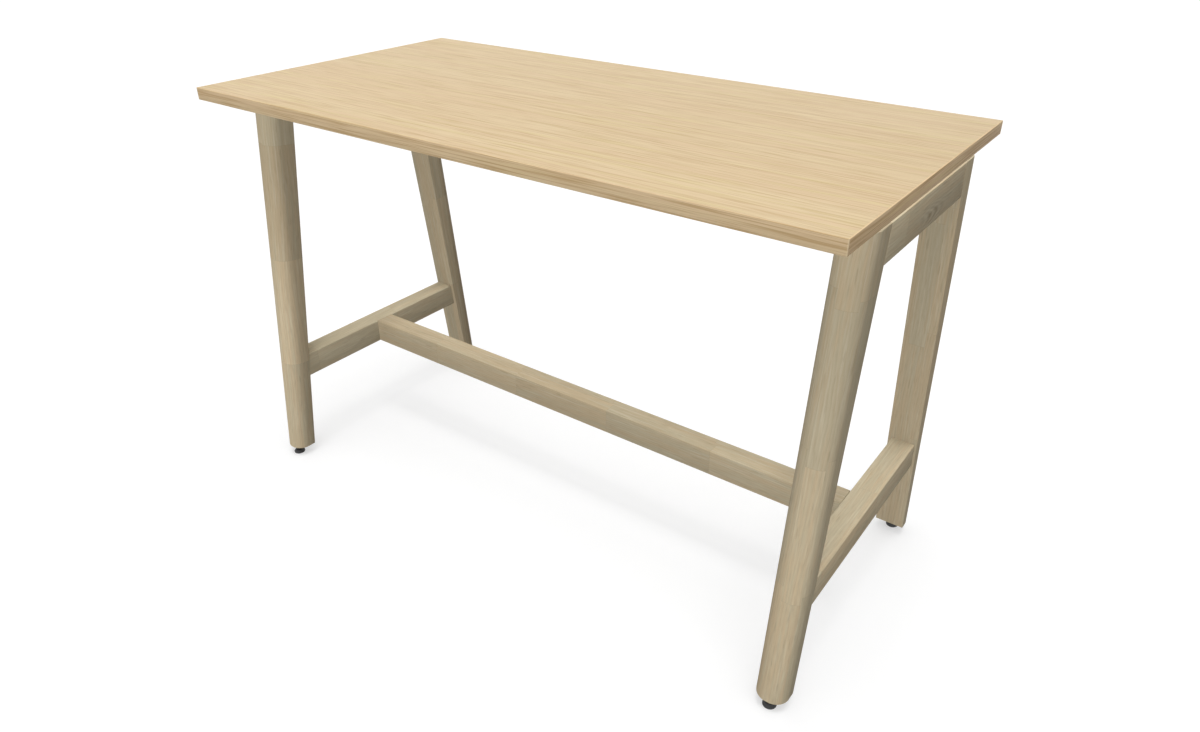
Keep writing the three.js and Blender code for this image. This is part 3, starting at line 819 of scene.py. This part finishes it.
def make_glide(node, screw):
    """A glide whose socket is just deep enough for the end of its screw."""
    low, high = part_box(node)
    socket = high[2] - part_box(screw)[0][2] + SOCKET_CLEAR
    spot = middle(node)
    rim = low[2] + GLIDE_RIM
    radius = high[0] - spot.x
    glide = start_drum(f"{node}_moulding", spot, radius, low[2], rim, GLIDE_SIDES)
    bpy.ops.object.mode_set(mode="EDIT")
    pick(glide, "faces", lambda face: face.normal.z > FACING_UP)
    bpy.ops.mesh.extrude_region_move(TRANSFORM_OT_translate={"value": (0, 0, high[2] - rim)})
    neck = GLIDE_NECK_RADIUS / radius
    bpy.ops.transform.resize(value=(neck, neck, 1), center_override=(spot.x, spot.y, high[2]))
    bpy.ops.mesh.inset(thickness=GLIDE_WALL)
    bpy.ops.mesh.extrude_region_move(TRANSFORM_OT_translate={"value": (0, 0, -socket)})
    bpy.ops.object.mode_set(mode="OBJECT")
    ease_edges(glide, GLIDE_ARRIS)
    return glide


def set_out(kind, first, ending, material):
    """Moves copies of a foot's first piece to the other feet; each rides on a body of its own."""
    for place in PLACES:
        node = f"{kind}_{place}"
        move = middle(node) - middle(f"{kind}_{PLACES[0]}")
        piece = first if place == PLACES[0] else copy_piece(first, f"{node}_{ending}", move=move)
        settle(piece, material, node, node)
        print(piece.name, [round(value, 4) for value in middle(node)])


first_glide = make_glide(f"glide_{PLACES[0]}", f"foot_screw_{PLACES[0]}")
set_out("glide", first_glide, "moulding", black_plastic)

# %% [markdown]
# The screw of a levelling foot has a thread that shows below the leg. A bump in the finish would not
# change its outline, so the thread is real: a small triangle, swept up in a helix by a Screw modifier.

# %% A thread
THREAD_PITCH = 1.5 * MM
THREAD_DEPTH = 0.8 * MM
THREAD_FILL = 0.95
THREAD_CORNERS = 3
SCREW_RADIUS = 5 * MM
SCREW_SIDES = 40


def sweep_thread(name, low, high):
    """A closed helix around the Z axis between two heights, left selected and active."""
    bpy.ops.object.select_all(action="DESELECT")
    bpy.ops.mesh.primitive_circle_add(vertices=THREAD_CORNERS, radius=THREAD_PITCH / 2 * THREAD_FILL,
                                      fill_type="NOTHING", location=(0, 0, 0), rotation=(math.pi / 2, 0, 0))
    thread = bpy.context.object
    thread.name = name
    bpy.ops.object.transform_apply(location=True, rotation=True, scale=True)
    bpy.ops.object.mode_set(mode="EDIT")
    bpy.ops.mesh.select_all(action="SELECT")
    bpy.ops.transform.rotate(value=-math.pi / 2, orient_axis="Y", center_override=(0, 0, 0))
    crest = max(vertex.co.x for vertex in bmesh.from_edit_mesh(thread.data).verts)
    bpy.ops.transform.translate(value=(SCREW_RADIUS - crest, 0, low + THREAD_PITCH / 2))
    bpy.ops.object.mode_set(mode="OBJECT")
    sweep = thread.modifiers.new("sweep", "SCREW")
    sweep.axis = "Z"
    sweep.screw_offset = THREAD_PITCH
    sweep.iterations = int((high - low) / THREAD_PITCH) - 1
    sweep.steps = SCREW_SIDES // 2
    sweep.render_steps = SCREW_SIDES // 2
    bpy.ops.object.modifier_apply(modifier=sweep.name)
    bpy.ops.object.mode_set(mode="EDIT")
    bpy.ops.mesh.select_all(action="SELECT")
    bpy.ops.mesh.fill_holes(sides=THREAD_CORNERS)
    bpy.ops.mesh.select_all(action="SELECT")
    bpy.ops.mesh.normals_make_consistent(inside=False)
    bpy.ops.object.mode_set(mode="OBJECT")
    return thread


# %% [markdown]
# The rest of the screw is a core as thick as the thread's root and a hexagon for a spanner. The three are
# joined into one piece, which is moved to the other feet as copies.

# %% Foot screws
SCREW_ARRIS = 0.4 * MM
HEX_SIDES = 6
HEX_ACROSS = 13 * MM
HEX_HEIGHT = 5 * MM
HEX_CLEAR = 0.05 * MM


def make_foot_screw(node, glide):
    """A foot's screw: its core, the hexagon just above the glide, and the thread above that."""
    low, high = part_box(node)
    spot = middle(node)
    hex_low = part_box(glide)[1][2] + HEX_CLEAR
    hex_high = hex_low + HEX_HEIGHT
    core = start_drum(f"{node}_steel", spot, SCREW_RADIUS - THREAD_DEPTH, low[2], high[2], SCREW_SIDES)
    ease_edges(core, SCREW_ARRIS, SMALL_ARRIS_SEGMENTS)
    hex_radius = HEX_ACROSS / 2 / math.cos(math.pi / HEX_SIDES)
    collar = start_drum(f"{node}_hexagon", spot, hex_radius, hex_low, hex_high, HEX_SIDES)
    ease_edges(collar, SCREW_ARRIS, SMALL_ARRIS_SEGMENTS)
    thread = sweep_thread(f"{node}_thread", hex_high, high[2])
    bpy.ops.object.mode_set(mode="EDIT")
    bpy.ops.mesh.select_all(action="SELECT")
    bpy.ops.transform.translate(value=(spot.x, spot.y, 0))
    bpy.ops.object.mode_set(mode="OBJECT")
    for part in (collar, thread, core):
        part.select_set(True)
    bpy.context.view_layer.objects.active = core
    bpy.ops.object.join()
    return core


first_screw = make_foot_screw(f"foot_screw_{PLACES[0]}", f"glide_{PLACES[0]}")
set_out("foot_screw", first_screw, "steel", black_steel)

# %% [markdown]
# What is left of the solids is right as it is: spacers, screws, inserts, dowels, tenons and the steel
# angles under the top. They only need finishes.

# %% Finishes for the fittings
FITTING_FINISHES = {
    "zinc_steel": zinc_steel,
    "black_steel": black_steel,
    "black_plastic": black_plastic,
    "beech": beech,
}
slots = {entry["node"]: entry["material_slot"] for entry in frame["record"]["subparts"]}
dressed = 0
for node, solid in frame["nodes"].items():
    if slots[node] in FITTING_FINISHES:
        solid.data.materials.clear()
        solid.data.materials.append(FITTING_FINISHES[slots[node]])
        dressed += 1
print("fittings dressed:", dressed)

# %% [markdown]
# The floor is a mid grey that glows when it is looked at, so that it reads as a white page and still
# takes shadows. A floor that is white to the other light too would throw half of it back up and make the
# sides of the legs as bright as their fronts. Seen from below, the floor is clear, so that the underside
# can be looked at. The world is white in the same way: it is seen and mirrored, but lights nothing.

# %% Floor and world
FLOOR_SIZE = 30.0
FLOOR_BOUNCE = 0.3
FLOOR_SHADE = 0.62
FLOOR_GLOW = 0.45
WHITE = (1.0, 1.0, 1.0, 1.0)
LOOKING = ("Is Camera Ray", "Is Glossy Ray", "Is Transmission Ray")

bpy.ops.object.select_all(action="DESELECT")
bpy.ops.mesh.primitive_plane_add(size=FLOOR_SIZE, location=(0, 0, 0))
floor = bpy.context.object
floor.name = "floor"


def seen(finish):
    """1 for rays that look at things, straight or in a reflection, and 0 for light that falls on things."""
    rays = finish.tree.nodes.new("ShaderNodeLightPath").outputs
    share = 0.0
    for kind in LOOKING:
        share = finish.maths("MAXIMUM", share, Wire(finish, rays[kind]))
    return share


paper = new_finish("paper_floor")
looked_at = seen(paper)
grey = looked_at * (FLOOR_SHADE - FLOOR_BOUNCE) + FLOOR_BOUNCE
matt = paper.node("ShaderNodeBsdfDiffuse", None, {"Color": paper.vector(grey, grey, grey)})
glow = paper.node("ShaderNodeEmission", None, {"Color": WHITE, "Strength": looked_at * FLOOR_GLOW})
upper = paper.node("ShaderNodeAddShader", None, {0: matt, 1: glow})
below = paper.node("ShaderNodeNewGeometry", None, None, "Backfacing")
clear = paper.node("ShaderNodeBsdfTransparent")
page = paper.node("ShaderNodeMixShader", None, {0: below, 1: upper, 2: clear})
paper.node("ShaderNodeOutputMaterial", None, {"Surface": page})
floor.data.materials.append(paper.owner)

sky = Finish(bpy.data.worlds.new("white_room"))
bpy.context.scene.world = sky.owner
dome = sky.node("ShaderNodeBackground", None, {"Color": WHITE, "Strength": seen(sky)})
sky.node("ShaderNodeOutputWorld", None, {"Surface": dome})
print("floor", FLOOR_SIZE, "m wide, world", sky.owner.name)

# %% [markdown]
# The light is plain and soft: a lamp overhead, an even sky, a fill from the front and a weaker one from
# the back. What shines on the pieces is the white room, not the lamps. The picture shows the shadows of
# the rails and feet but none of the top, so the top stops none of the lamps, and the floor has two lamps
# of its own, a narrow one and a wide one.

# %% Lamps
OVERHEAD_FROM = (0.074, -0.1, 1.0)
FRONT_FROM = (0.18, -1.0, 0.1)
BACK_FROM = (-0.5, 1.0, 0.1)
ABOVE = (0.0, 0.0, 1.0)
PIECE_LAMPS = {
    "overhead": {"towards": OVERHEAD_FROM, "share": 0.8, "spread": 25},
    "sky": {"towards": ABOVE, "share": 0.15, "spread": 170},
    "front_fill": {"towards": FRONT_FROM, "share": 0.375, "spread": 0, "shadow": False},
    "back_fill": {"towards": BACK_FROM, "share": 0.25, "spread": 0, "shadow": False},
}
FLOOR_LAMPS = {
    "floor_narrow": {"towards": OVERHEAD_FROM, "share": 0.26, "spread": 25},
    "floor_wide": {"towards": ABOVE, "share": 0.742, "spread": 170},
}


def sun(name, towards, share, spread, shadow=True):
    """A lamp so far away that only its direction counts; a share of 1 lights a white face to white."""
    data = bpy.data.lights.new(name, "SUN")
    data.energy = share * math.pi
    data.angle = math.radians(spread)
    data.use_shadow = shadow
    lamp = bpy.data.objects.new(name, data)
    lamp.visible_glossy = False
    lamp.rotation_euler = (-Vector(towards)).to_track_quat("-Z", "Y").to_euler()
    bpy.context.collection.objects.link(lamp)
    return lamp


def group(name, pieces, state):
    """A set of pieces that a lamp includes or leaves out."""
    made = bpy.data.collections.new(name)
    for piece in pieces:
        made.objects.link(piece)
    for entry in made.collection_objects:
        entry.light_linking.link_state = state
    return made


not_the_floor = group("not_the_floor", [floor], "EXCLUDE")
only_the_floor = group("only_the_floor", [floor], "INCLUDE")
not_the_top = group("not_the_top", [board] + [band for band, along in bands.values()], "EXCLUDE")
for lamps, lit in ((PIECE_LAMPS, not_the_floor), (FLOOR_LAMPS, only_the_floor)):
    for name, lamp in lamps.items():
        linking = sun(name, **lamp).light_linking
        linking.receiver_collection = lit
        if lamp.get("shadow", True):
            linking.blocker_collection = not_the_top
bpy.context.scene.view_settings.view_transform = "Standard"
